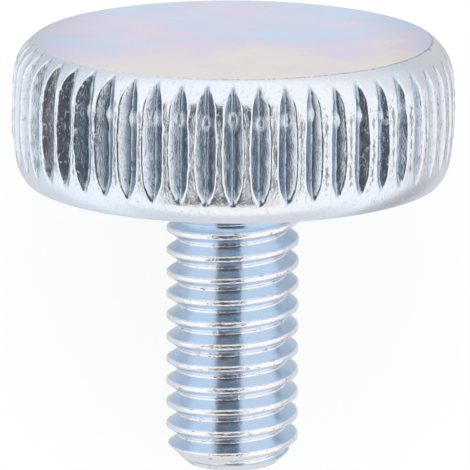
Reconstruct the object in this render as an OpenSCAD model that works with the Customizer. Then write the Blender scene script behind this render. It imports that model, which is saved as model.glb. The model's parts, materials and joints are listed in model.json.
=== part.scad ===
// Knurled thumb screw: a turned head with a straight knurl, a plain neck and a rolled thread.
// It is drawn upright, with its axis on Z, its flat top at z = 0 and its shank below, and then
// laid down on its knurl and its tip, as it comes to rest on a table.

/* [Head] */
// Diameter over the knurl, at the middle of the rim
head_d = 19.6; // [16:0.05:30]
// Height, from the seat under the head to the flat top
head_h = 6.25; // [4:0.05:12]
// How far the edge of the flat top lies inside the widest part of the rim
top_inset = 1.05; // [0.7:0.05:1.8]
// How far the edge of the seat lies inside the widest part of the rim
seat_inset = 0.6; // [0.6:0.05:1.8]
// How far the rim swells from its ends to its middle
rim_swell = 0.35; // [0.1:0.05:0.5]
// Radius of the rim's two rounded corners
corner_r = 1.95; // [1.5:0.05:2.5]

/* [Knurl] */
// Number of grooves round the rim
knurl_count = 52; // [40:4:64]
// Depth of a groove, from the middle of the rim
knurl_depth = 0.45; // [0.2:0.01:0.6]
// Angle between a groove's two sides
knurl_angle = 92; // [60:1:110]
// How far a groove leans in towards the flat top, so that it is deeper there
knurl_lean = 2; // [0:0.1:3]

/* [Neck] */
// Diameter of the plain neck under the head
neck_d = 5.95; // [5.95:0.05:9]
// Length of the plain neck
neck_l = 1; // [0.6:0.05:4]
// Radius of the fillet where the neck meets the seat
neck_fillet_r = 0.3; // [0.1:0.05:0.6]

/* [Thread] */
// Length of the shank, from the seat to the tip
shank_l = 13; // [9:0.05:40]
// Diameter over the thread's crests
thread_d = 5.9; // [5:0.05:5.9]
// Distance between two crests, with a right-hand turn
pitch = 1; // [0.75:0.05:1.25]
// Angle between the two sides of the thread's groove
thread_angle = 60; // [50:1:65]
// Distance from the neck to the first crest on the +X side
first_crest = 0.84; // [0.4:0.02:1.4]
// Length over which the thread's groove gets shallow beside the neck
runout_l = 1.4; // [0.4:0.05:2]
// Diameter of the flat end of the tip
tip_d = 4.15; // [3:0.05:4.5]
// Angle between the tip's bevel and the axis
tip_angle = 45; // [35:1:60]

/* [Mesh] */
// Facets round one turn of the thread
thread_facets = 32; // [24:4:48]

/* [Hidden] */
$fn = 128;

// Room by which a cutting shape reaches past what it cuts
past = 1;

// The rim, as points of [radius, z]. Its middle stretch is an arc round rim_c, and each corner
// is an arc that runs into it smoothly and ends at the edge of the flat top or of the seat.
rim_r = head_d / 2;
rim_arc_r = (pow(head_h / 2, 2) + pow(rim_swell, 2)) / (2 * rim_swell);
rim_c = [rim_r - rim_arc_r, -head_h / 2];
top_edge = [rim_r - top_inset, 0];
seat_edge = [rim_r - seat_inset, -head_h];
top_corner_c = meet(rim_c, rim_arc_r - corner_r, top_edge, corner_r);
seat_corner_c = meet(seat_edge, corner_r, rim_c, rim_arc_r - corner_r);

// The thread. A share of each side is rounded off at its crest and at its root.
thread_z = -head_h - neck_l;
tip_z = -head_h - shank_l;
thread_depth = 0.57 * pitch;
crest_half = 0.075 * pitch;
rounding = 0.1 * thread_depth;
side_run = thread_depth * tan(thread_angle / 2);
rounding_run = rounding * tan(thread_angle / 2);
crest_z = thread_z - first_crest;

// One pitch of the thread from crest to crest, as [distance down, depth below the crest]
form = [
    [0, 0],
    [crest_half + rounding_run, rounding],
    [crest_half + side_run - rounding_run, thread_depth - rounding],
    [pitch / 2, thread_depth],
    [pitch - crest_half - side_run + rounding_run, thread_depth - rounding],
    [pitch - crest_half - rounding_run, rounding]
];

// Turns of thread that are drawn, from inside the neck to past the tip
turns_up = ceil(first_crest / pitch) + 1;
turns = turns_up + ceil((crest_z - tip_z) / pitch) + 1;

// Where the laid-down screw touches the table with its shank: at whichever height its floor side
// gives the flattest lie against the rounded corner of the rim
touch_step = pitch / 40;
touches = concat(
    [for (z = [tip_z : touch_step : thread_z]) [floor_side_r(z), z]],
    [[neck_d / 2, thread_z]]
);
lie_angle = min([for (p = touches) lie(p)]);
touch = [for (p = touches) if (lie(p) == lie_angle) p][0];
lie_y = (-tip_z * cos(lie_angle) + (tip_d / 2 - top_edge.x) * sin(lie_angle)) / 2;
lie_z = touch.x * cos(lie_angle) - touch.y * sin(lie_angle);

// The point at distance pr from p and qr from q, to the right of the way from p to q
function meet(p, pr, q, qr) =
    let (
        d = norm(q - p),
        along = (d * d + pr * pr - qr * qr) / (2 * d),
        aside = sqrt(pr * pr - along * along),
        u = (q - p) / d
    )
    p + along * u + aside * [u.y, -u.x];

// Radius of the tip's bevel at height z
function bevel_r(z) = tip_d / 2 + (z - tip_z) * tan(tip_angle);

// Radius of the shank at height z on the side that lies towards the table
function floor_side_r(z) =
    let (
        down = crest_z + pitch / 4 - z,
        phase = down - pitch * floor(down / pitch),
        depth = lookup(phase, concat(form, [[pitch, 0]]))
    )
    min(bevel_r(z), thread_d / 2 - depth * thread_share(z));

// Angle between the axis and a table that touches the shank at p and the rim's seat corner
function lie(p) =
    let (way = seat_corner_c - p)
    atan2(way.x, way.y) + asin(corner_r / norm(way));

// Share of its full depth that the thread has at height z
function thread_share(z) = max(0, min(1, (thread_z - z) / runout_l));

// The thread's surface after a number of facets, at point i of its form
function thread_point(step, i) =
    let (
        turn = step / thread_facets,
        z = crest_z + pitch * (turns_up - turn) - form[i].x,
        r = thread_d / 2 - form[i].y * thread_share(z)
    )
    [r * cos(360 * turn), -r * sin(360 * turn), z];

// A sector of a disc's outside, from its centre c past the points a and b on its edge
module outside_sector(c, r, a, b) {
    reach = 1 + past / r;
    difference() {
        polygon([c, c + reach * (a - c), c + reach * (a + b - 2 * c), c + reach * (b - c)]);
        translate(c) circle(r);
    }
}

// Where a corner's arc runs into the rim's middle arc
function run_in(c) = rim_c + (c - rim_c) * rim_arc_r / norm(c - rim_c);

// Half of the head's section, with its rounded corners cut from the swelling rim
module head_section() {
    difference() {
        intersection() {
            translate([0, -head_h]) square([rim_r, head_h]);
            translate(rim_c) circle(rim_arc_r, $fn = 4 * $fn);
        }
        outside_sector(top_corner_c, corner_r, run_in(top_corner_c), top_edge);
        outside_sector(seat_corner_c, corner_r, seat_edge, run_in(seat_corner_c));
    }
}

// One groove of the knurl, on the +X side, at its named depth in the middle of the rim
module knurl_groove() {
    cut = knurl_depth + past;
    half = cut * tan(knurl_angle / 2);
    translate([rim_r - knurl_depth, 0, -head_h / 2])
        rotate([0, -knurl_lean, 0])
            linear_extrude(head_h + 2 * past, center = true)
                polygon([[0, 0], [cut, -half], [cut, half]]);
}

module head() {
    difference() {
        rotate_extrude() head_section();
        for (i = [0 : knurl_count - 1])
            rotate(360 / knurl_count * i) knurl_groove();
    }
}

module neck() {
    // The neck starts inside the head, so that the two are one piece
    translate([0, 0, thread_z]) cylinder(h = neck_l + head_h / 2, d = neck_d);
    rotate_extrude()
        translate([neck_d / 2, -head_h])
            difference() {
                translate([-past, -neck_fillet_r]) square([past + neck_fillet_r, neck_fillet_r + past]);
                translate([neck_fillet_r, -neck_fillet_r]) circle(neck_fillet_r);
            }
}

// A closed rod with the thread on it, from inside the neck to past the tip. Its surface is a
// strip that winds down the axis, and each of its ends is closed by a fan from a point on the axis.
module threaded_rod() {
    n = len(form);
    last = turns * thread_facets;
    function id(step, i) = i < n ? step * n + i : (step + thread_facets) * n;
    top = (last + 1) * n;
    bottom = top + 1;
    rod_top = crest_z + pitch * turns_up;
    points = concat(
        [for (step = [0 : last]) for (i = [0 : n - 1]) thread_point(step, i)],
        [[0, 0, rod_top], [0, 0, rod_top - pitch * (turns + 1)]]
    );
    sides = [
        for (step = [0 : last - 1])
            for (i = [0 : n - 1])
                if (i < n - 1 || step < last - thread_facets)
                    each [
                        [id(step, i), id(step, i + 1), id(step + 1, i + 1)],
                        [id(step, i), id(step + 1, i + 1), id(step + 1, i)]
                    ]
    ];
    top_fan = concat(
        [for (step = [0 : thread_facets - 1]) [id(step, 0), id(step + 1, 0), top]],
        [for (i = [0 : n - 1]) [id(0, i + 1), id(0, i), top]]
    );
    bottom_fan = concat(
        [for (step = [last - thread_facets : last - 1]) [id(step + 1, n - 1), id(step, n - 1), bottom]],
        [for (i = [0 : n - 2]) [id(last, i), id(last, i + 1), bottom]],
        [[id(last - thread_facets, n - 1), id(last, 0), bottom]]
    );
    polyhedron(points, concat(sides, top_fan, bottom_fan));
}

// The thread, with its end turned to a bevel and a flat tip
module shank() {
    bevel_h = (neck_d - tip_d) / 2 / tan(tip_angle);
    intersection() {
        threaded_rod();
        rotate_extrude()
            polygon([
                [0, 0],
                [neck_d / 2, 0],
                [neck_d / 2, tip_z + bevel_h],
                [tip_d / 2, tip_z],
                [0, tip_z]
            ]);
    }
}

module thumb_screw() {
    color([0.78, 0.81, 0.86])
        translate([0, lie_y, lie_z])
            rotate([lie_angle - 90, 0, 0]) {
                head();
                neck();
                shank();
            }
}

thumb_screw();
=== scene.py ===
"""Looks of a knurled thumb screw in bright zinc-plated steel, lying on a pale studio floor.

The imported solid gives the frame: how the screw lies, and where its seat and its tip are. Two
finer pieces stand for it here, the knurled head and the threaded shank. Both are shaped in
millimetres in the screw's own upright frame, with the axis on Z and the flat top at z = 0, and
are then laid down into the frame of the solid.
"""

import json
import logging
import math
from collections.abc import Callable
from dataclasses import dataclass
from enum import Enum
from types import SimpleNamespace

import bmesh
import bpy
from mathutils import Matrix, Vector

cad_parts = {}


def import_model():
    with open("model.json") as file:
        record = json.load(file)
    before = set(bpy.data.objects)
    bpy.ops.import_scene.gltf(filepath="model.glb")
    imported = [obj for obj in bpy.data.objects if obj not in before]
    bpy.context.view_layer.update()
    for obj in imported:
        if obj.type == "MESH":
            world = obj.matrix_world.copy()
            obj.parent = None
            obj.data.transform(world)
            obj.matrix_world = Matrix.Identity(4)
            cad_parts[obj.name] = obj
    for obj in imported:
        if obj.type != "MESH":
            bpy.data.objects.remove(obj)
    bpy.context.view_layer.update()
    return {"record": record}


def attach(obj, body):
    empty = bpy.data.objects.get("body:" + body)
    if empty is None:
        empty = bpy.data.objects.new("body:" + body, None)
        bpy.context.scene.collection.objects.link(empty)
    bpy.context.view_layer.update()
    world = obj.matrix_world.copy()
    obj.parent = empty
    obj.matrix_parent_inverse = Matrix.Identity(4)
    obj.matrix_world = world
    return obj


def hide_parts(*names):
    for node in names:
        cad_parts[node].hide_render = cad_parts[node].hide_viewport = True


LOG = logging.getLogger("thumb_screw")
MM = 0.001
NODE = "thumb_screw"
BODY = "root"
ACROSS = Vector((1, 0, 0))

Colour = tuple[float, float, float]


class Finish(Enum):
    """The finishes of the screw, by the number that marks their faces."""

    TOP = 0
    RIM = 1
    THREAD = 2


def calculation(
    operation: str, *fixed: float, last: bool = False, clamp: bool = False
) -> Callable[..., "Term"]:
    """Makes a method of Term that adds one Math node.

    Args:
        operation: The node's operation.
        fixed: Inputs that are the same each time, after all others.
        last: Whether the term itself comes after the method's own inputs, not before them.
        clamp: Whether the result is kept between 0 and 1.

    Returns:
        The method, which takes terms or plain numbers.
    """

    def method(self: "Term", *others: "Term | float") -> "Term":
        """Adds the node and gives its result."""
        w = Wiring(self.tree)
        node = w.node("ShaderNodeMath", operation=operation, use_clamp=clamp)
        values = (*others, self) if last else (self, *others, *fixed)
        for slot, value in zip(node.inputs, values):
            w.feed(slot, value)
        return Term(node.outputs[0])

    return method


class Term:
    """A number in a node tree. Arithmetic on it adds Math nodes, and so do its methods."""

    __add__ = calculation("ADD")
    __radd__ = calculation("ADD", last=True)
    __sub__ = calculation("SUBTRACT")
    __rsub__ = calculation("SUBTRACT", last=True)
    __mul__ = calculation("MULTIPLY")
    __rmul__ = calculation("MULTIPLY", last=True)
    __truediv__ = calculation("DIVIDE")
    __rtruediv__ = calculation("DIVIDE", last=True)
    __abs__ = calculation("ABSOLUTE")
    sin = calculation("SINE")
    cos = calculation("COSINE")
    arcsine = calculation("ARCSINE")
    angle_to = calculation("ARCTAN2")
    sign = calculation("SIGN")
    root = calculation("SQRT")
    fraction = calculation("FRACT")
    at_least = calculation("MAXIMUM")
    at_most = calculation("MINIMUM")
    # The smaller and the larger of two numbers, rounded where they meet.
    soft_min = calculation("SMOOTH_MIN")
    soft_max = calculation("SMOOTH_MAX")
    # The number kept between 0 and 1.
    share = calculation("MULTIPLY", 1.0, clamp=True)

    def __init__(self, socket: bpy.types.NodeSocket) -> None:
        """Holds an output socket that gives a number."""
        self.tree = socket.id_data
        self.socket = socket

    def step(self, low: float, high: float) -> "Term":
        """A soft step.

        Args:
            low: Where the step starts, at 0.
            high: Where it ends, at 1. It may be below low.

        Returns:
            The height of the step at this number.
        """
        flip = low > high
        node = Wiring(self.tree).node(
            "ShaderNodeMapRange",
            interpolation_type="SMOOTHSTEP",
            Value=self,
            From_Min=min(low, high),
            From_Max=max(low, high),
            To_Min=1.0 if flip else 0.0,
            To_Max=0.0 if flip else 1.0,
        )
        return Term(node.outputs["Result"])


class Wiring:
    """Adds and links the nodes of one tree."""

    def __init__(self, tree: bpy.types.NodeTree) -> None:
        """Holds a geometry, shader or world node tree."""
        self.tree = tree

    def node(self, kind: str, **values: object) -> bpy.types.Node:
        """Adds a node.

        Args:
            kind: The node's type name.
            values: The node's own settings, by their names in small letters, and then values or
                sockets for its inputs, by their names with _ for each space.

        Returns:
            The new node.
        """
        node = self.tree.nodes.new(kind)
        for name, value in values.items():
            if name.islower():
                setattr(node, name, value)
            else:
                self.feed(node.inputs[name.replace("_", " ")], value)
        return node

    def feed(self, slot: bpy.types.NodeSocket, value: object) -> None:
        """Links a socket or a term to an input, or sets the input's own value."""
        if isinstance(value, Term):
            value = value.socket
        if isinstance(value, bpy.types.NodeSocket):
            self.tree.links.new(value, slot)
        elif slot.type == "RGBA":
            slot.default_value = (*value, 1.0)
        else:
            slot.default_value = value

    def parts(self, vector: bpy.types.NodeSocket) -> tuple[Term, Term, Term]:
        """The x, y and z of a vector."""
        split = self.node("ShaderNodeSeparateXYZ", Vector=vector)
        return tuple(Term(part) for part in split.outputs)

    def vector(self, x: object, y: object, z: object) -> bpy.types.NodeSocket:
        """A vector from its x, y and z."""
        return self.node("ShaderNodeCombineXYZ", X=x, Y=y, Z=z).outputs[0]

    def noise(
        self, vector: bpy.types.NodeSocket, scale: object, detail: float = 2.0, warp: float = 0.0
    ) -> Term:
        """A noise, by its waves for each unit, its finer layers and how far it is pulled about."""
        node = self.node(
            "ShaderNodeTexNoise", Vector=vector, Scale=scale, Detail=detail, Distortion=warp
        )
        return Term(node.outputs[0])

    def blend(self, share: object, low: object, high: object) -> bpy.types.NodeSocket:
        """Blends two colours: the low one shows at a share of 0, and the high one at 1."""
        mix = self.node("ShaderNodeMix", data_type="RGBA")
        slots = [s for s in mix.inputs if s.enabled]
        for slot, value in zip(slots, (share, low, high)):
            self.feed(slot, value)
        return next(s for s in mix.outputs if s.enabled)

    def held(self, name: str, kind: str = "FLOAT") -> Term:
        """A number that a mesh holds under a name, in a geometry node tree."""
        node = self.node("GeometryNodeInputNamedAttribute", data_type=kind, Name=name)
        return Term(node.outputs[0])


class Group:
    """A node group with named inputs and outputs."""

    def __init__(self, name: str, kind: str) -> None:
        """Starts the group under a name, with the type name of its tree."""
        self.tree = bpy.data.node_groups.new(name, kind)
        self.wiring = Wiring(self.tree)
        self.source = self.tree.nodes.new("NodeGroupInput")
        self.drain = self.tree.nodes.new("NodeGroupOutput")

    def takes(self, name: str, kind: str) -> bpy.types.NodeSocket:
        """Adds a named input of a kind such as Float, and gives its socket in the group."""
        self.tree.interface.new_socket(name, in_out="INPUT", socket_type="NodeSocket" + kind)
        return self.source.outputs[name]

    def gives(self, name: str, kind: str, value: object) -> None:
        """Adds a named output of a kind such as Color, and links the value to it."""
        self.tree.interface.new_socket(name, in_out="OUTPUT", socket_type="NodeSocket" + kind)
        self.wiring.feed(self.drain.inputs[name], value)

    def place(self, w: Wiring, **inputs: object) -> bpy.types.Node:
        """Places the group in a material, with values or sockets for its inputs."""
        return w.node("ShaderNodeGroup", node_tree=self.tree, **inputs)


@dataclass(frozen=True)
class Screw:
    """The screw's main sizes, in millimetres."""

    head_d: float = 19.6
    head_h: float = 6.25
    top_inset: float = 1.05
    seat_inset: float = 0.6
    rim_swell: float = 0.35
    corner_r: float = 1.95
    knurl_count: int = 52
    knurl_depth: float = 0.45
    knurl_angle: float = 92.0
    neck_d: float = 5.95
    neck_l: float = 1.0
    neck_fillet_r: float = 0.3
    shank_l: float = 13.0
    thread_d: float = 5.9
    pitch: float = 1.0
    first_crest: float = 0.84
    runout_l: float = 1.4
    tip_d: float = 4.15
    tip_angle: float = 45.0

    @property
    def rim_r(self) -> float:
        """Radius of the rim at its middle."""
        return self.head_d / 2

    @property
    def tip_z(self) -> float:
        """Height of the tip's end."""
        return -self.head_h - self.shank_l


@dataclass(frozen=True)
class Lie:
    """How the screw lies: the way its axis points, and the middle of its flat top in metres."""

    axis: Vector
    top: Vector

    @classmethod
    def from_record(cls, record: dict, screw: Screw) -> "Lie":
        """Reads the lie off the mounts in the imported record."""
        mounts = {m["name"]: m for m in record["mounts"]}
        axis = -Vector(mounts["seat"]["axis"]).normalized()
        tip = Vector(mounts["tip_face"]["pos_m"])
        return cls(axis, tip - axis * screw.tip_z * MM)

    @property
    def front(self) -> Vector:
        """The way out of the side of the screw that faces up."""
        return ACROSS.cross(self.axis).normalized()

    def turn(self) -> Matrix:
        """The rotation from the screw's own upright frame to the frame of the solid."""
        return Matrix((ACROSS, -self.front, self.axis)).transposed()

    def laid(self) -> Matrix:
        """The way from millimetres in the upright frame to metres in the frame of the solid."""
        return Matrix.Translation(self.top) @ self.turn().to_4x4() @ Matrix.Scale(MM, 4)


class Rule(Group):
    """A geometry node tree that makes a mesh from a seed and from named values."""

    def __init__(self, name: str) -> None:
        """Starts the tree under a name, with the seed as its first input."""
        super().__init__(name, "GeometryNodeTree")
        self.seed = self.takes("Geometry", "Geometry")
        self.values: dict[str, object] = {}

    def numbers(self, **values: float) -> SimpleNamespace:
        """Adds named numbers, and gives them under the same names inside the tree."""
        terms = {}
        for name, value in values.items():
            label = name.replace("_", " ").title()
            self.values[label] = value
            kind = "Int" if isinstance(value, int) else "Float"
            terms[name] = Term(self.takes(label, kind))
        return SimpleNamespace(**terms)

    def material(self, name: str, value: bpy.types.Material) -> bpy.types.NodeSocket:
        """Adds a named material, and gives it inside the tree."""
        self.values[name] = value
        return self.takes(name, "Material")

    def grow(self, name: str, seed: bpy.types.Mesh) -> bpy.types.Mesh:
        """Runs the tree on a mesh.

        Args:
            name: The new mesh's name.
            seed: The mesh that the tree starts from.

        Returns:
            The result as a plain mesh.
        """
        holder = bpy.data.objects.new(name + "_seed", seed)
        bpy.context.scene.collection.objects.link(holder)
        modifier = holder.modifiers.new("rule", "NODES")
        modifier.node_group = self.tree
        sockets = {s.name: s for s in self.tree.interface.items_tree if s.in_out == "INPUT"}
        for key, value in self.values.items():
            modifier[sockets[key].identifier] = value
        graph = bpy.context.evaluated_depsgraph_get()
        graph.update()
        mesh = bpy.data.meshes.new_from_object(
            holder.evaluated_get(graph), preserve_all_data_layers=True, depsgraph=graph
        )
        mesh.name = name
        holder.modifiers.clear()
        bpy.data.objects.remove(holder)
        self.drop_empty_slots(mesh)
        return mesh

    @staticmethod
    def drop_empty_slots(mesh: bpy.types.Mesh) -> None:
        """Takes the material slots without a material off a mesh, and renumbers its faces."""
        coats = list(mesh.materials)
        kept = [coat for coat in coats if coat]
        places = [kept.index(coat) if coat else 0 for coat in coats]
        marks = [places[face.material_index] for face in mesh.polygons]
        mesh.materials.clear()
        for coat in kept:
            mesh.materials.append(coat)
        mesh.polygons.foreach_set("material_index", marks)


def meet(p: Vector, reach_p: float, q: Vector, reach_q: float) -> Vector:
    """Finds the point at given distances from two others.

    Args:
        p: The first point.
        reach_p: The distance from it.
        q: The second point.
        reach_q: The distance from that.

    Returns:
        The point on the right of the way from p to q.
    """
    way = q - p
    along = (way.length_squared + reach_p**2 - reach_q**2) / (2 * way.length)
    aside = math.sqrt(reach_p**2 - along**2)
    way.normalize()
    return p + along * way + aside * Vector((way.y, -way.x))


def arc(centre: Vector, start: Vector, end: Vector, count: int) -> list[Vector]:
    """Points along the short arc round a centre from start to end, the first one left out."""
    radius = (start - centre).length
    first = math.atan2(start.y - centre.y, start.x - centre.x)
    last = math.atan2(end.y - centre.y, end.x - centre.x)
    angles = [first + (last - first) * (i + 1) / count for i in range(count)]
    return [centre + radius * Vector((math.cos(a), math.sin(a))) for a in angles]


def close(mesh: bpy.types.Mesh, join: float, cap: dict[float, int]) -> None:
    """Closes a mesh: joins its doubles, fills its open rings and points its faces outwards.

    Args:
        mesh: The mesh, in millimetres in the upright frame.
        join: The distance under which two points are one.
        cap: The material number of each filled ring, by the height of the ring.
    """
    bm = bmesh.new()
    bm.from_mesh(mesh)
    bmesh.ops.remove_doubles(bm, verts=bm.verts, dist=join)
    bmesh.ops.dissolve_degenerate(bm, edges=bm.edges, dist=join / 10)
    rims = [e for e in bm.edges if e.is_boundary]
    for face in bmesh.ops.edgeloop_fill(bm, edges=rims)["faces"]:
        height = face.calc_center_median().z
        face.material_index = cap[min(cap, key=lambda z: abs(z - height))]
    bmesh.ops.recalc_face_normals(bm, faces=bm.faces)
    for face in bm.faces:
        face.smooth = True
    bm.to_mesh(mesh)
    bm.free()


def keep(
    w: Wiring, geometry: bpy.types.NodeSocket, name: str, value: object, **settings: str
) -> bpy.types.NodeSocket:
    """Stores a number at each point of a geometry under a name."""
    kind = "GeometryNodeStoreNamedAttribute"
    store = w.node(kind, **settings, Geometry=geometry, Name=name, Value=value)
    return store.outputs[0]


@dataclass
class Head:
    """The knurled head: its flat top, its rounded rim with the grooves, and its seat."""

    screw: Screw
    lie: Lie
    coats: dict[Finish, bpy.types.Material]
    flat_ring: float = 0.5
    edge_round: float = 0.07
    corner_rows: int = 22
    rim_rows: int = 34
    groove_columns: tuple[float, ...] = (0.07, 0.15, 0.3, 0.5, 0.7, 0.86, 1.0)
    land_columns: tuple[float, ...] = (1.3, 1.65, 2.0)
    dive: float = 0.066
    dive_from: float = -2.2
    lift: float = 0.34
    lift_from: float = -4.4
    groove_floor: float = 0.045
    floor_round: float = 0.05
    least_depth: float = 0.08
    full_rib: float = 0.3
    nodules: float = 0.11
    nodule_place: float = -1.7
    nodule_half: float = 0.34
    nodule_drift: float = 0.7
    nodule_sides: tuple[float, float] = (0.6, 0.85)
    nodule_share: float = 0.8
    lumps: float = 0.22
    edge_wear: float = 0.2
    skew: float = 0.0234
    skew_from: float = -7.8
    depth_spread: float = 0.06
    burr: float = 0.05
    burr_width: float = 0.13
    ragged: float = 0.075
    grit: float = 0.04
    dents: float = 0.025

    def section(self) -> list[tuple[float, float, Finish]]:
        """Half of the head's section.

        Returns:
            Radius, height and finish of each row of points, from the flat top to the seat. The
            finish is that of the faces below the row.
        """
        s = self.screw
        rim_arc_r = ((s.head_h / 2) ** 2 + s.rim_swell**2) / (2 * s.rim_swell)
        rim_c = Vector((s.rim_r - rim_arc_r, -s.head_h / 2))
        top_edge = Vector((s.rim_r - s.top_inset, 0))
        seat_edge = Vector((s.rim_r - s.seat_inset, -s.head_h))
        top_c = meet(rim_c, rim_arc_r - s.corner_r, top_edge, s.corner_r)
        seat_c = meet(seat_edge, s.corner_r, rim_c, rim_arc_r - s.corner_r)
        top_run = rim_c + (top_c - rim_c).normalized() * rim_arc_r
        seat_run = rim_c + (seat_c - rim_c).normalized() * rim_arc_r
        shoulder = [top_edge] + arc(top_c, top_edge, top_run, self.corner_rows)
        rim = arc(rim_c, top_run, seat_run, self.rim_rows)
        below = arc(seat_c, seat_run, seat_edge, self.corner_rows)
        inward = Vector((-1, 0))
        top = [top_edge + inward * self.flat_ring] + self.rounded(
            top_edge + inward * self.edge_round, top_edge, shoulder[1]
        )
        seat = self.rounded(below[-2], seat_edge, seat_edge + inward * self.edge_round)
        seat.append(seat_edge + inward * self.flat_ring)
        rows = [(p.x, p.y, Finish.TOP) for p in top[:3]]
        rows += [(p.x, p.y, Finish.RIM) for p in top[3:] + shoulder[2:] + rim + below[:-2] + seat]
        return rows

    @staticmethod
    def rounded(before: Vector, edge: Vector, after: Vector) -> list[Vector]:
        """Points that round an edge off, from the point before it to the point after it."""
        steps = [i / 4 for i in range(5)]
        return [(1 - t) ** 2 * before + 2 * t * (1 - t) * edge + t * t * after for t in steps]

    def tooth(self) -> bpy.types.Mesh:
        """A flat strip that stands for one groove and the half lands beside it.

        Returns:
            A mesh whose points hold radius, place across and height as x, y and z. Across is 0 at
            the middle of the groove, 1 at its edge and 2 at the middle of the land.
        """
        half = self.groove_columns + self.land_columns
        across = [-a for a in reversed(half)] + [0.0, *half]
        rows = self.section()
        points = [(r, a, z) for r, z, _ in rows for a in across]
        wide = len(across)
        faces = [
            (j * wide + i, (j + 1) * wide + i, (j + 1) * wide + i + 1, j * wide + i + 1)
            for j in range(len(rows) - 1)
            for i in range(wide - 1)
        ]
        mesh = bpy.data.meshes.new("tooth")
        mesh.from_pydata(points, [], faces)
        finish = mesh.attributes.new("finish", "INT", "FACE")
        marks = [row[2].value for row in rows[:-1] for _ in range(wide - 1)]
        finish.data.foreach_set("value", marks)
        return mesh

    def rule(self) -> Rule:
        """The rule that turns the strip into the whole ring of grooves.

        Returns:
            A geometry node tree that repeats the strip, bends each copy round the axis and cuts
            its groove, with the depth of each groove a little different.
        """
        s = self.screw
        maker = Rule("knurled_rim")
        w = maker.wiring
        n = maker.numbers(
            grooves=s.knurl_count,
            root_radius=s.rim_r - s.knurl_depth,
            half_angle=math.radians(s.knurl_angle / 2),
            dive_at_top=self.dive,
            lift_at_bottom=self.lift,
            skew=self.skew,
            depth_spread=self.depth_spread,
            groove_floor=self.groove_floor,
            nodule_height=self.nodules,
            nodule_place=self.nodule_place,
            nodule_half_length=self.nodule_half,
            edge_wear=self.edge_wear,
            burr_height=self.burr,
            burr_width=self.burr_width,
            ragged_edge=self.ragged,
            grit=self.grit,
            dents=self.dents,
        )
        spots = w.node("GeometryNodePoints", Count=n.grooves).outputs[0]
        copies = w.node("GeometryNodeInstanceOnPoints", Points=spots, Instance=maker.seed)
        index = w.node("GeometryNodeInputIndex").outputs[0]
        marked = keep(w, copies.outputs[0], "groove", index, data_type="INT", domain="INSTANCE")
        whole = w.node("GeometryNodeRealizeInstances", Geometry=marked)
        dented = self.dented(w, self.bent(w, n, whole.outputs[0]), n.dents)
        maker.gives("Geometry", "Geometry", self.coated(maker, dented))
        return maker

    def root_at(self, n: SimpleNamespace, height: Term, turn: Term) -> Term:
        """How far from the axis a groove's root is at a height, by its turn round the axis."""
        above = (height - self.dive_from).at_least(0.0)
        below = (self.lift_from - height).at_least(0.0)
        straight = n.root_radius - n.dive_at_top * above * above + n.lift_at_bottom * below * below
        return straight + n.skew * (height - self.skew_from) * turn.cos()

    def bent(
        self, w: Wiring, n: SimpleNamespace, strips: bpy.types.NodeSocket
    ) -> bpy.types.NodeSocket:
        """Bends each flat strip round the axis and cuts its groove.

        Args:
            w: The rule's wiring.
            n: The rule's numbers.
            strips: The strips, each with its groove's number.

        Returns:
            The ring of grooves, which holds the numbers that the finish reads.
        """
        number = w.held("groove", "INT")
        rim, across, height = w.parts(w.node("GeometryNodeInputPosition").outputs[0])
        own = w.node("ShaderNodeTexWhiteNoise", noise_dimensions="1D", W=number)
        chance, again = (Term(own.outputs[name]) - 0.5 for name in ("Value", "Color"))
        middle = number * math.tau / n.grooves
        seam = 1 / n.grooves * math.pi
        size = abs(across)
        side = across.sign()

        root = self.root_at(n, height, middle) + n.depth_spread * chance
        rib = ((rim - root) / self.full_rib).share()
        sharp = (root * n.half_angle.sin() / rim).at_most(1.0)
        edge = n.half_angle - sharp.arcsine()
        edge = edge.soft_max(seam * 0.3, seam * 0.15).at_most(seam * 0.9)
        on_land = (size - 1).share()
        angle = edge * size.at_most(1.0) + (seam - edge) * on_land

        drop = (height - n.nodule_place - again * self.nodule_drift) / n.nodule_half_length
        ahead = (0 - middle.sin()).step(*self.nodule_sides) * self.nodule_share
        lump = w.noise(w.vector(height * 2.4, number * 3.1, 0.5), 1.0, 1.0)
        swell = (1 - drop * drop).share() * ahead + ((lump - 0.6) / 0.12).share() * self.lumps
        filled = n.groove_floor + n.nodule_height * swell
        jog = w.noise(w.vector(height * 1.6, number * 7.3, across * 0.4), 1.0, 3.0) - 0.5
        fine = w.noise(w.vector(height * 6.0, number * 11.7, across * 3.0), 1.0, 2.0) - 0.5
        shift = (n.ragged_edge * jog * 2 + n.grit * fine * 2) * rib * (2 - size).at_most(1.0)
        cut = root * n.half_angle.sin() / (n.half_angle - angle).sin()
        cut = (cut + shift).soft_max(root + filled, self.floor_round)
        lip = (1 - abs(angle - edge) * rim / n.burr_width).share()
        ridge = n.burr_height * lip * lip * rib * (jog * 2 + 0.8)
        formed = rim.soft_min(cut, n.edge_wear) + ridge

        seam_root = self.root_at(n, height, middle + side * seam)
        seam_cut = seam_root * n.half_angle.sin() / (n.half_angle - seam).sin()
        shared = rim.soft_min(seam_cut, n.edge_wear)
        radius = shared + (formed - shared) * ((2 - size) / 0.3).share()
        depth = ((rim - radius) / (rim - root).at_least(self.least_depth)).share()
        kept = keep(w, strips, "depth", depth)
        kept = keep(w, kept, "rib", rib)
        kept = keep(w, kept, "land", on_land * rib)
        kept = keep(w, kept, "lump", swell * depth.step(0.3, 0.6))
        turn = middle + side * angle
        place = w.vector(radius * turn.cos(), radius * turn.sin(), height)
        moved = w.node("GeometryNodeSetPosition", Geometry=kept, Position=place)
        joined = w.node("GeometryNodeMergeByDistance", Geometry=moved.outputs[0], Distance=0.002)
        return joined.outputs[0]

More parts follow.
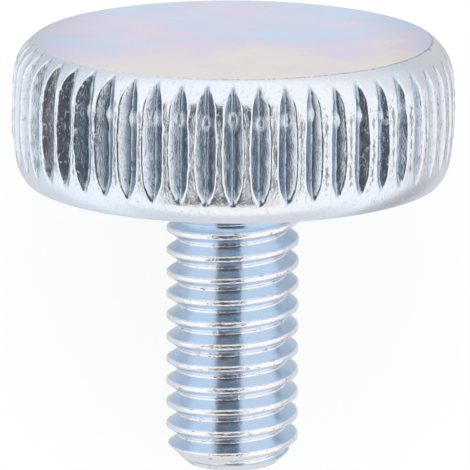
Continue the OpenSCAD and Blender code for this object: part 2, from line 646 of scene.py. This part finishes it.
    @staticmethod
    def dented(w: Wiring, geometry: bpy.types.NodeSocket, dents: Term) -> bpy.types.NodeSocket:
        """Moves the ribs of the ring in and out, by up to the depth of the dents."""
        x, y, z = w.parts(w.node("GeometryNodeInputPosition").outputs[0])
        outward = w.vector(x, y, 0.0)
        radial = w.node("ShaderNodeVectorMath", operation="NORMALIZE", Vector=outward)
        rough = w.noise(w.vector(x, y, z * 0.55), 1.7, 3.0, 0.4) - 0.5
        push = w.node(
            "ShaderNodeVectorMath",
            operation="SCALE",
            Vector=radial.outputs[0],
            Scale=rough * dents * 2 * w.held("rib"),
        )
        moved = w.node("GeometryNodeSetPosition", Geometry=geometry, Offset=push.outputs[0])
        return moved.outputs[0]

    def coated(self, maker: Rule, geometry: bpy.types.NodeSocket) -> bpy.types.NodeSocket:
        """Gives the faces of the flat top their own finish, and all others the rim's."""
        w = maker.wiring
        rim = maker.material("Rim", self.coats[Finish.RIM])
        coated = w.node("GeometryNodeSetMaterial", Geometry=geometry, Material=rim)
        same = w.node("FunctionNodeCompare", data_type="INT", operation="EQUAL")
        pair = [slot for slot in same.inputs if slot.enabled]
        w.feed(pair[0], w.held("finish", "INT"))
        w.feed(pair[1], Finish.TOP.value)
        topped = w.node(
            "GeometryNodeSetMaterial",
            Geometry=coated.outputs[0],
            Selection=same.outputs[0],
            Material=maker.material("Top", self.coats[Finish.TOP]),
        )
        return topped.outputs[0]

    def build(self) -> bpy.types.Object:
        """Makes the head as one closed mesh, laid in the frame of the solid."""
        mesh = self.rule().grow("knurled_head", self.tooth())
        top, rim = (mesh.materials.find(self.coats[f].name) for f in (Finish.TOP, Finish.RIM))
        close(mesh, 0.003, {0.0: top, -self.screw.head_h: rim})
        mesh.transform(self.lie.laid())
        return bpy.data.objects.new("knurled_head", mesh)


@dataclass
class Shank:
    """The shank: the plain neck, the rolled thread and the bevelled tip, as one surface."""

    screw: Screw
    lie: Lie
    coats: dict[Finish, bpy.types.Material]
    columns: int = 144
    rows_per_turn: int = 24
    inside: float = 0.4
    thread_depth: float = 0.55
    thread_angle: float = 68.0
    crest_half: float = 0.085
    crest_round: float = 0.05
    root_round: float = 0.04
    neck_edge: float = 0.03
    tip_round: float = 0.08
    end_hole: float = 0.2
    waver: float = 0.015
    bevel_fade: float = 0.15
    under_from: tuple[float, float] = (0.0, 0.05)
    under_to: tuple[float, float] = (0.63, 0.58)

    def rule(self) -> Rule:
        """The rule for the thread.

        Returns:
            A geometry node tree that winds a grid round the axis, so that its rows run along the
            thread, and gives each point its radius.
        """
        s = self.screw
        top_z = -s.head_h + self.inside
        top_r = s.neck_d / 2 + s.neck_fillet_r
        crest_z = -s.head_h - s.neck_l - s.first_crest
        above = math.ceil((top_z + top_r - crest_z) / s.pitch)
        start = crest_z + above * s.pitch
        winds = math.ceil((start - s.tip_z + s.tip_d / 2) / s.pitch) + 1

        maker = Rule("rolled_thread")
        w = maker.wiring
        coat = maker.material("Thread", self.coats[Finish.THREAD])
        n = maker.numbers(
            pitch=s.pitch,
            turns=winds,
            crest_radius=s.thread_d / 2,
            thread_depth=self.thread_depth * s.pitch,
            half_crest=self.crest_half * s.pitch,
            side_tangent=math.tan(math.radians(self.thread_angle / 2)),
            neck_radius=s.neck_d / 2,
            neck_fillet=s.neck_fillet_r,
            tip_radius=s.tip_d / 2,
            bevel_tangent=math.tan(math.radians(s.tip_angle)),
            waver=self.waver,
        )
        grid = w.node(
            "GeometryNodeMeshGrid",
            Size_X=1.0,
            Size_Y=n.turns,
            Vertices_X=self.columns + 1,
            Vertices_Y=n.turns * self.rows_per_turn + 1,
        )
        x, y, _ = w.parts(w.node("GeometryNodeInputPosition").outputs[0])
        angle = (x + 0.5) * math.tau
        run = (n.turns / 2 - y) * n.pitch
        raw = start - run + (x + 0.5) * n.pitch
        height = raw.at_least(s.tip_z).at_most(top_z)
        beyond = (raw - top_z).at_least(0.0) + (s.tip_z - raw).at_least(0.0)

        below = ((run / n.pitch + 0.5).fraction() - 0.5) * n.pitch
        down = (abs(below) - n.half_crest) / n.side_tangent
        groove = down.soft_max(0.0, self.crest_round).soft_min(n.thread_depth, self.root_round)
        thread_z = -s.head_h - s.neck_l
        runout = height.step(thread_z, thread_z - s.runout_l)
        where = w.vector(angle.cos() * 3.0, angle.sin() * 3.0, height)
        drift = (w.noise(where, 1.3, 2.0) - 0.5) * n.waver * 2
        thread = n.crest_radius - groove * runout + drift * runout
        up_neck = height.step(thread_z - self.neck_edge, thread_z + self.neck_edge)
        thread = thread + (n.neck_radius - n.crest_radius) * up_neck
        rise = (height + (s.head_h + s.neck_fillet_r)).at_least(0.0).at_most(n.neck_fillet)
        flare = n.neck_fillet - (n.neck_fillet * n.neck_fillet - rise * rise).at_least(0.0).root()
        cone = n.tip_radius + (height - s.tip_z) * n.bevel_tangent
        radius = thread.soft_min(cone, self.tip_round) + flare - beyond
        radius = radius.at_least(self.end_hole)
        bare = 1 - ((thread - cone) / self.bevel_fade).share()
        depth = (groove / n.thread_depth * runout).share() * bare
        kept = keep(w, grid.outputs[0], "depth", depth)
        kept = keep(w, kept, "under", below.step(*self.under_from) * below.step(*self.under_to))
        place = w.vector(radius * angle.cos(), radius * angle.sin(), height)
        wound = w.node("GeometryNodeSetPosition", Geometry=kept, Position=place)
        joined = w.node("GeometryNodeMergeByDistance", Geometry=wound.outputs[0], Distance=0.002)
        whole = w.node("GeometryNodeRealizeInstances", Geometry=joined.outputs[0])
        done = w.node("GeometryNodeSetMaterial", Geometry=whole.outputs[0], Material=coat)
        maker.gives("Geometry", "Geometry", done.outputs[0])
        return maker

    def build(self) -> bpy.types.Object:
        """Makes the shank as one closed mesh, laid in the frame of the solid."""
        mesh = self.rule().grow("threaded_shank", bpy.data.meshes.new("seed"))
        close(mesh, 0.001, {self.screw.tip_z: 0, -self.screw.head_h: 0})
        mesh.transform(self.lie.laid())
        return bpy.data.objects.new("threaded_shank", mesh)


def film_effect() -> Group:
    """The thin clear film on zinc, whose colour drifts from place to place.

    Returns:
        A group that puts out the film's colour.
    """
    effect = Group("zinc_film", "ShaderNodeTree")
    w = effect.wiring
    point = effect.takes("Point", "Vector")
    spread = effect.takes("Patches Per Millimetre", "Float")
    strength = effect.takes("Strength", "Float")
    lean = Term(effect.takes("Lean", "Float"))
    bare = effect.takes("Bare Metal", "Color")
    patches = w.noise(point, spread, 2.0, 0.5)
    ramp = w.node("ShaderNodeValToRGB", Fac=(patches - 0.5) * 1.8 + 0.5 + lean)
    tints = (
        (0.70, 0.80, 0.97),
        (0.76, 0.78, 0.92),
        (0.87, 0.76, 0.89),
        (0.92, 0.82, 0.79),
        (0.95, 0.87, 0.78),
    )
    bar = ramp.color_ramp
    bar.interpolation = "EASE"
    bar.elements.remove(bar.elements[1])
    bar.elements[0].color = (*tints[0], 1.0)
    for number, tint in enumerate(tints[1:], 1):
        bar.elements.new(number / (len(tints) - 1)).color = (*tint, 1.0)
    effect.gives("Colour", "Color", w.blend(strength, bare, ramp.outputs[0]))
    return effect


def grain_effect() -> Group:
    """The fine grain of electroplated metal, with small pits.

    Returns:
        A group that puts out the grain's height and a mask of the pits.
    """
    effect = Group("plating_grain", "ShaderNodeTree")
    w = effect.wiring
    point = effect.takes("Point", "Vector")
    size = Term(effect.takes("Grains Per Millimetre", "Float"))
    share = Term(effect.takes("Pitting", "Float"))
    fine = w.node("ShaderNodeTexNoise", Vector=point, Scale=size, Detail=3.0, Roughness=0.6)
    coarse = w.node(
        "ShaderNodeTexNoise",
        Vector=point,
        Scale=size * 0.45,
        Detail=4.0,
        Roughness=0.7,
        Distortion=0.3,
    )
    patchy = Term(coarse.outputs[0])
    height = Term(fine.outputs[0]) * 0.6 + patchy * 0.4
    pits = ((patchy - (0.72 - share * 0.3)) / 0.06).share()
    effect.gives("Height", "Float", height - pits * 0.5)
    effect.gives("Pits", "Float", pits)
    return effect


def emptied(block: "bpy.types.Material | bpy.types.World") -> Wiring:
    """Empties the node tree of a new material or world, and gives its wiring."""
    block.use_nodes = True
    block.node_tree.nodes.clear()
    return Wiring(block.node_tree)


@dataclass(frozen=True)
class Plating:
    """What every zinc-plated finish shares: how the screw lies and the two effects."""

    lie: Lie
    film: Group
    grain: Group

    def start(self, name: str) -> tuple[bpy.types.Material, Wiring, bpy.types.NodeSocket]:
        """Starts a material, and gives it, its wiring and its place in upright millimetres."""
        material = bpy.data.materials.new(name)
        w = emptied(material)
        upright = w.node(
            "ShaderNodeMapping",
            vector_type="TEXTURE",
            Vector=w.node("ShaderNodeTexCoord").outputs["Object"],
            Location=self.lie.top,
            Rotation=self.lie.turn().to_euler(),
            Scale=(MM, MM, MM),
        )
        return material, w, upright.outputs[0]

    def filmed(
        self, w: Wiring, point: bpy.types.NodeSocket, finish: object, lean: object, bare: object
    ) -> bpy.types.NodeSocket:
        """The colour of bare metal under a finish's film, with the film's lean to warm tints."""
        node = self.film.place(
            w,
            Point=point,
            Patches_Per_Millimetre=finish.patches,
            Strength=finish.film_strength,
            Lean=lean,
            Bare_Metal=bare,
        )
        return node.outputs["Colour"]

    def grained(
        self, w: Wiring, point: bpy.types.NodeSocket, finish: object
    ) -> tuple[Term, Term]:
        """The height and the pits of a finish's grain at a place."""
        node = self.grain.place(
            w, Point=point, Grains_Per_Millimetre=finish.grains, Pitting=finish.pitting
        )
        return Term(node.outputs["Height"]), Term(node.outputs["Pits"])

    @staticmethod
    def end(w: Wiring, colour: object, roughness: object, height: Term, relief: float) -> None:
        """Ends a material with its metal shader.

        Args:
            w: The material's wiring.
            colour: The metal's colour.
            roughness: Its roughness.
            height: The height of its fine relief, from 0 to 1.
            relief: The depth of that relief in millimetres.
        """
        bump = w.node("ShaderNodeBump", Height=height, Distance=relief * MM)
        shader = w.node(
            "ShaderNodeBsdfPrincipled",
            Base_Color=colour,
            Metallic=1.0,
            Roughness=roughness,
            Normal=bump.outputs[0],
        )
        w.node("ShaderNodeOutputMaterial", Surface=shader.outputs[0])


def stored(w: Wiring, name: str) -> Term:
    """A number that was stored on the mesh under a name."""
    return Term(w.node("ShaderNodeAttribute", attribute_name=name).outputs["Fac"])


@dataclass(frozen=True)
class TopFinish:
    """The flat top: satin, with the film's colours drifting over it."""

    plating: Plating
    metal: Colour = (0.86, 0.8, 0.86)
    shade: Colour = (0.5, 0.46, 0.56)
    patches: float = 0.22
    film_strength: float = 1.0
    warmer_in_front: float = 0.11
    cooler_aside: float = 0.0016
    cooler: float = 0.2
    grains: float = 3.0
    pitting: float = 0.15
    clouds: float = 0.35
    roughness: float = 0.3
    relief: float = 0.004

    def material(self) -> bpy.types.Material:
        """Builds the finish."""
        material, w, point = self.plating.start("satin_top")
        x, y, _ = w.parts(point)
        front = (0 - y).at_least(0.0)
        lean = front * self.warmer_in_front - x * x * self.cooler_aside - self.cooler
        film = self.plating.filmed(w, point, self, lean, self.metal)
        height, pits = self.plating.grained(w, point, self)
        cloud = w.noise(point, self.clouds, 3.0)
        colour = w.blend((cloud * 0.12 + pits * 0.2).share(), film, self.shade)
        roughness = height * 0.15 + cloud * 0.1 + (self.roughness - 0.12)
        Plating.end(w, colour, roughness, height, self.relief)
        return material


@dataclass(frozen=True)
class RimFinish:
    """The shoulders and the knurled rim: bright edges, granular grooves painted darker as shade,
    and lands with a painted reflection.
    """

    plating: Plating
    edge_r: float
    metal: Colour = (0.92, 0.965, 0.99)
    # The darker metal painted into the grooves as shade.
    groove_shade_metal: Colour = (0.5, 0.58, 0.68)
    # Brown painted on the lands as the reflection of the dark gap in front.
    land_gap_reflection: Colour = (0.34, 0.28, 0.24)
    pit: Colour = (0.16, 0.14, 0.13)
    # A darker grey for a thin line along the top edge and for the nick.
    dark_mark: Colour = (0.3, 0.29, 0.3)
    patches: float = 0.16
    film_strength: float = 0.26
    warmer_aside: float = 0.035
    cooler: float = 0.2
    grains: float = 14.0
    pitting: float = 0.4
    drawn_out: float = 0.55
    # The band of height, the threshold and the raggedness of the streaks on the lands.
    streak_below: tuple[float, float] = (-1.2, -1.9)
    streak_above: tuple[float, float] = (-5.6, -4.4)
    streak_from: float = 0.72
    streak_raggedness: float = 2.2
    edge_half: float = 0.07
    edge_below: tuple[float, float] = (-0.2, -0.05)
    nick: tuple[float, float] = (8.5, -2.05)
    nick_r: float = 0.14
    roughness: float = 0.14
    relief: float = 0.07

    def material(self) -> bpy.types.Material:
        """Builds the finish."""
        material, w, point = self.plating.start("knurled_rim")
        x, y, z = w.parts(point)
        depth = stored(w, "depth")
        land = stored(w, "land")
        lean = x * self.warmer_aside - self.cooler
        film = self.plating.filmed(w, point, self, lean, self.metal)
        height, pits = self.plating.grained(w, w.vector(x, y, z * self.drawn_out), self)
        # Painted shade: the metal turns darker and bluer with the depth of the groove.
        colour = w.blend((depth * 1.5).share(), film, self.groove_shade_metal)
        ragged = w.noise(w.vector(x, y, z * 0.5), 6.0, 4.0, 0.5)
        # Painted reflection: in a middle band the lands turn rougher and take a brown tint that
        # stands for the dark gap mirrored in them. The roughness is real; the brown is painted.
        middle = z.step(*self.streak_below) * z.step(*self.streak_above)
        streak = land * middle - self.streak_from + (ragged - 0.5) * self.streak_raggedness
        streak = (streak / 0.3).share()
        colour = w.blend(streak * 0.7, colour, self.land_gap_reflection)
        colour = w.blend((pits * (depth + land)).share() * 0.6, colour, self.pit)
        # A thin darker line along the top edge, ragged and a little stronger towards +x, then the
        # nick made darker.
        off_edge = abs((x * x + y * y).root() - self.edge_r) / self.edge_half
        edge = (1.3 - off_edge).share() * z.step(*self.edge_below)
        colour = w.blend(edge * (ragged * 2.4 - 0.9 + x * 0.05).share(), colour, self.dark_mark)
        aside, ahead = x - self.nick[0], y - self.nick[1]
        nick = (1.6 - (aside * aside + ahead * ahead).root() / self.nick_r).share()
        colour = w.blend(nick * 0.8, colour, self.dark_mark)
        # Lumps that rise out of a groove get the bright metal back, out of the painted shade.
        colour = w.blend(stored(w, "lump") * 0.75, colour, self.metal)
        roughness = depth.share() * 0.03 + streak * 0.3 + height * 0.12 + (self.roughness - 0.06)
        relief = (height - 0.5) * ((depth * 0.4 + land * middle).share() * 0.8 + 0.2)
        Plating.end(w, colour, roughness, relief, self.relief)
        return material


@dataclass(frozen=True)
class ThreadFinish:
    """The shank: blue flanks, lower flanks painted near white as a reflection, and crests that the
    rolling left rough, painted white as a highlight.
    """

    plating: Plating
    metal: Colour = (0.5, 0.69, 0.87)
    # The near-white painted on the lower flanks as their reflection; the thread's own tint is the
    # blue metal.
    lower_flank_reflection: Colour = (0.95, 0.97, 1.0)
    # The white painted on the crests and the root bottoms as a highlight.
    crest_and_root_highlight: Colour = (1.0, 1.0, 1.0)
    pit: Colour = (0.2, 0.2, 0.22)
    crest_from: tuple[float, float] = (0.2, 0.08)
    root_from: tuple[float, float] = (0.93, 0.99)
    patches: float = 0.3
    film_strength: float = 0.14
    grains: float = 7.0
    pitting: float = 0.35
    roughness: float = 0.17
    relief: float = 0.045

    def material(self) -> bpy.types.Material:
        """Builds the finish."""
        material, w, point = self.plating.start("rolled_thread")
        depth = stored(w, "depth")
        x, y, z = w.parts(point)
        height, pits = self.plating.grained(w, w.vector(x * 0.6, y * 0.6, z * 1.6), self)
        # Painted highlight: the crests and the bottoms of the roots turn white.
        crest = depth.step(*self.crest_from) + depth.step(*self.root_from)
        # Painted reflection: the lower flanks turn near white, the upper ones keep the blue metal.
        colour = w.blend(stored(w, "under"), self.metal, self.lower_flank_reflection)
        colour = w.blend(crest, colour, self.crest_and_root_highlight)
        colour = w.blend(crest * pits * 0.7, colour, self.pit)
        film = self.plating.filmed(w, point, self, 0.0, colour)
        roughness = height * 0.1 + (self.roughness - 0.05) - crest * 0.05
        relief = (height - 0.5) * (crest * 0.9 + 0.1)
        Plating.end(w, film, roughness, relief, self.relief)
        return material


@dataclass
class Studio:
    """The pale floor, the soft light all round, and the camera.

    The floor's places and reaches are in metres, the camera's in millimetres, angles in degrees.
    """

    lie: Lie
    floor_half: float = 0.6
    floor_white: float = 0.9
    seen_white: float = 0.2
    seen_glow: float = 0.86
    mirrored_white: float = 0.12
    floor_glow: float = 0.65
    side_glow: float = 0.24
    behind_glow: float = 0.12
    dim_glow: float = -0.1
    shade_glow: float = -0.3
    shade_place: tuple[float, float] = (0.0235, -0.009)
    shade_reach: float = 0.013
    glow_tint: Colour = (0.96, 1.0, 1.05)
    sky: Colour = (1.0, 1.0, 1.0)
    low_sky: Colour = (0.76, 0.78, 0.82)
    gap_sides: tuple[float, float] = (-35.0, 18.0)
    gap_heights: tuple[float, float] = (-34.0, 27.0)
    gap_soft: float = 4.0
    gap_left: Colour = (0.1, 0.085, 0.08)
    gap_right: Colour = (0.09, 0.12, 0.16)
    camera_reach: float = 247.0
    camera_above: float = 11.43
    camera_mm: float = 428.3
    camera_roll: float = 0.25
    aim_down: float = 8.93
    aim_right: float = 0.1

    def floor(self) -> bpy.types.Object:
        """Makes the floor."""
        mesh = bpy.data.meshes.new("studio_floor")
        half = self.floor_half
        corners = [(-half, -half, 0), (half, -half, 0), (half, half, 0), (-half, half, 0)]
        mesh.from_pydata(corners, [], [(0, 1, 2, 3)])
        floor = bpy.data.objects.new("studio_floor", mesh)
        bpy.context.scene.collection.objects.link(floor)
        mesh.materials.append(self.floor_paint())
        return floor

    @staticmethod
    def glowing(
        w: Wiring, white: float, glow: "float | bpy.types.NodeSocket"
    ) -> bpy.types.NodeSocket:
        """A pale surface that keeps shadows, with its own light of a given colour or strength."""
        plain = w.node("ShaderNodeBsdfDiffuse", Color=(white, white, white))
        own = w.node("ShaderNodeEmission")
        w.feed(own.inputs["Strength" if isinstance(glow, float) else "Color"], glow)
        both = w.node("ShaderNodeAddShader")
        w.feed(both.inputs[0], plain.outputs[0])
        w.feed(both.inputs[1], own.outputs[0])
        return both.outputs[0]

    def mirrored_glow(self, w: Wiring) -> bpy.types.NodeSocket:
        """The floor's own light in reflections: dimmer behind on both sides and at one spot."""
        x, y, _ = w.parts(w.node("ShaderNodeTexCoord").outputs["Object"])
        away = (x * x + y * y).root().at_least(0.001)
        behind = y / away
        sides = (abs(x) / away).step(0.45, 0.85) * away.step(0.018, 0.036) * self.side_glow
        dim = behind.step(0.15, 0.4) * behind.step(0.95, 0.82) * away.step(0.25, 0.05)
        aside, ahead = x - self.shade_place[0], y - self.shade_place[1]
        shade = ((aside * aside + ahead * ahead).root() / self.shade_reach).step(1.2, 0.4)
        level = (
            sides
            + behind.step(0.85, 0.95) * self.behind_glow
            + dim * (self.dim_glow - sides)
            + shade * self.shade_glow
            + self.floor_glow
        )
        red, green, blue = (level * share for share in self.glow_tint)
        return w.vector(red, green, blue)

    def floor_paint(self) -> bpy.types.Material:
        """The floor's paint: white to the camera, pale in reflections, with soft shadows."""
        material = bpy.data.materials.new("floor_paint")
        w = emptied(material)
        mirrored = self.glowing(w, self.mirrored_white, self.mirrored_glow(w))
        seen = self.glowing(w, self.seen_white, self.seen_glow)
        plain = w.node("ShaderNodeBsdfDiffuse", Color=(self.floor_white,) * 3).outputs[0]
        path = w.node("ShaderNodeLightPath")
        camera, glossy, through = (
            Term(path.outputs[f"Is {kind} Ray"]) for kind in ("Camera", "Glossy", "Transmission")
        )
        for share, shader in ((glossy.at_least(through), mirrored), (camera, seen)):
            mix = w.node("ShaderNodeMixShader", Fac=share)
            w.feed(mix.inputs[1], plain)
            w.feed(mix.inputs[2], shader)
            plain = mix.outputs[0]
        w.node("ShaderNodeOutputMaterial", Surface=plain)
        return material

    def light(self) -> None:
        """Makes the light: white all round, with a dim gap in front that the metal mirrors."""
        world = bpy.data.worlds.new("soft_surround")
        bpy.context.scene.world = world
        w = emptied(world)
        way = w.node("ShaderNodeTexCoord").outputs["Generated"]
        front, side, along = (
            self.dot(w, way, axis) for axis in (self.lie.front, ACROSS, self.lie.axis)
        )
        turn = side.angle_to(front)
        left, right = (math.radians(v) for v in self.gap_sides)
        low, high = (math.sin(math.radians(v)) for v in self.gap_heights)
        soft = math.radians(self.gap_soft)
        gap = turn.step(left - soft, left + soft) * turn.step(right + soft, right - soft)
        gap = gap * along.step(low - 0.05, low + 0.05) * along.step(high + 0.1, high - 0.1)
        tone = w.blend(turn.step(-0.3, -0.05), self.gap_left, self.gap_right)
        _, far, high_up = w.parts(way)
        low_down = high_up.step(0.45, 0.1) * far.step(0.1, 0.5)
        colour = w.blend(gap, w.blend(low_down, self.sky, self.low_sky), tone)
        path = w.node("ShaderNodeLightPath")
        seen = w.blend(path.outputs["Is Camera Ray"], colour, (1.0, 1.0, 1.0))
        sky = w.node("ShaderNodeBackground", Color=seen, Strength=1.0)
        w.node("ShaderNodeOutputWorld", Surface=sky.outputs[0])

    @staticmethod
    def dot(w: Wiring, way: bpy.types.NodeSocket, axis: Vector) -> Term:
        """How much of a direction points along an axis."""
        node = w.node("ShaderNodeVectorMath", operation="DOT_PRODUCT")
        w.feed(node.inputs[0], way)
        w.feed(node.inputs[1], axis)
        return Term(node.outputs["Value"])

    def camera(self) -> None:
        """Places the camera square to the axis, a little above the flat top."""
        lie = self.lie
        rise = math.radians(self.camera_above)
        eye = lie.top + self.camera_reach * MM * (
            lie.front * math.cos(rise) + lie.axis * math.sin(rise)
        )
        aim = lie.top - lie.axis * self.aim_down * MM + ACROSS * self.aim_right * MM
        back = (eye - aim).normalized()
        right = lie.axis.cross(back).normalized()
        up = back.cross(right)
        roll = math.radians(self.camera_roll)
        turned_right = right * math.cos(roll) + up * math.sin(roll)
        turned_up = up * math.cos(roll) - right * math.sin(roll)
        data = bpy.data.cameras.new("studio_camera")
        data.lens = self.camera_mm
        data.sensor_width = 36.0
        data.clip_start = 0.01
        data.clip_end = 10.0
        camera = bpy.data.objects.new("studio_camera", data)
        face = Matrix((turned_right, turned_up, back)).transposed().to_4x4()
        camera.matrix_world = Matrix.Translation(eye) @ face
        bpy.context.scene.collection.objects.link(camera)
        bpy.context.scene.camera = camera

    def build(self) -> bpy.types.Object:
        """Makes the light, the camera and the floor, and gives the floor."""
        self.light()
        self.camera()
        return self.floor()


def main() -> None:
    """Builds the screw's two pieces in their finishes, and the studio round them."""
    logging.basicConfig(level=logging.INFO, format="%(name)s: %(message)s")
    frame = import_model()
    scene = bpy.context.scene
    scene.view_settings.view_transform = "Standard"

    screw = Screw()
    lie = Lie.from_record(frame["record"], screw)
    plating = Plating(lie, film_effect(), grain_effect())
    coats = {
        Finish.TOP: TopFinish(plating).material(),
        Finish.RIM: RimFinish(plating, screw.rim_r - screw.top_inset).material(),
        Finish.THREAD: ThreadFinish(plating).material(),
    }
    for maker in (Head(screw, lie, coats), Shank(screw, lie, coats)):
        piece = maker.build()
        scene.collection.objects.link(piece)
        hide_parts(NODE)
        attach(piece, BODY)
        LOG.info("%s: %d faces", piece.name, len(piece.data.polygons))
    Studio(lie).build()
    scene.view_layers[0].update()


if __name__ == "__main__":
    main()
